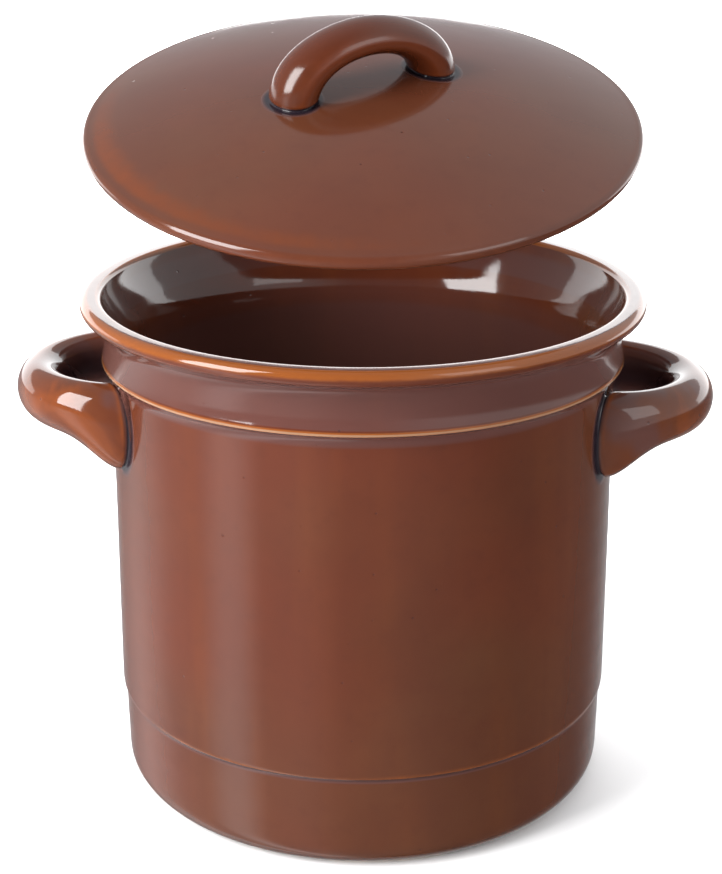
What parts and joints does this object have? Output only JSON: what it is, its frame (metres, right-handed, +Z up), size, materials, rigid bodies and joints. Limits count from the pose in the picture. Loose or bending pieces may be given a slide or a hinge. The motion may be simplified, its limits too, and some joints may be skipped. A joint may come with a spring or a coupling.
{
  "type": "stoneware fermenting crock",
  "caption": "Glazed stoneware crock with rolled lip, collar and ear handles, a domed lid with a strap handle held raised and tipped, and half-moon weights inside.",
  "frame": {"origin": "middle of the foot, on the surface the crock stands on", "axes": "+Z up along the pot's axis, the ear handles along X, the front, which the lid is tipped towards, at -Y"},
  "size_m": [0.2749, 0.22, 0.306],
  "materials": {
    "pot_glaze": "glossy treacle-brown glaze",
    "handle_glaze": "glossy treacle-brown glaze, thinner and more orange",
    "lid_glaze": "glossy treacle-brown glaze",
    "bare_stoneware": "unglazed, matt"
  },
  "bodies": {
    "crock": {"crock_body": "pot_glaze", "left_handle": "handle_glaze", "right_handle": "handle_glaze"},
    "lid": {"lid": "lid_glaze", "lid_handle": "handle_glaze"},
    "left_weight": {"left_weight": "bare_stoneware"},
    "right_weight": {"right_weight": "bare_stoneware"}
  },
  "joints": [
    {"name": "lid_lift", "type": "hinge", "parent": "crock", "child": "lid", "pos_m": [0, -0.21784, 0.25314], "axis": [1, 0, 0], "range_deg": [-15.2, 30.5]},
    {"name": "left_weight_rise", "type": "slide", "parent": "crock", "child": "left_weight", "axis": [0, 0, 1], "range_m": [0, 0.15]},
    {"name": "right_weight_rise", "type": "slide", "parent": "crock", "child": "right_weight", "axis": [0, 0, 1], "range_m": [0, 0.15]}
  ]
}
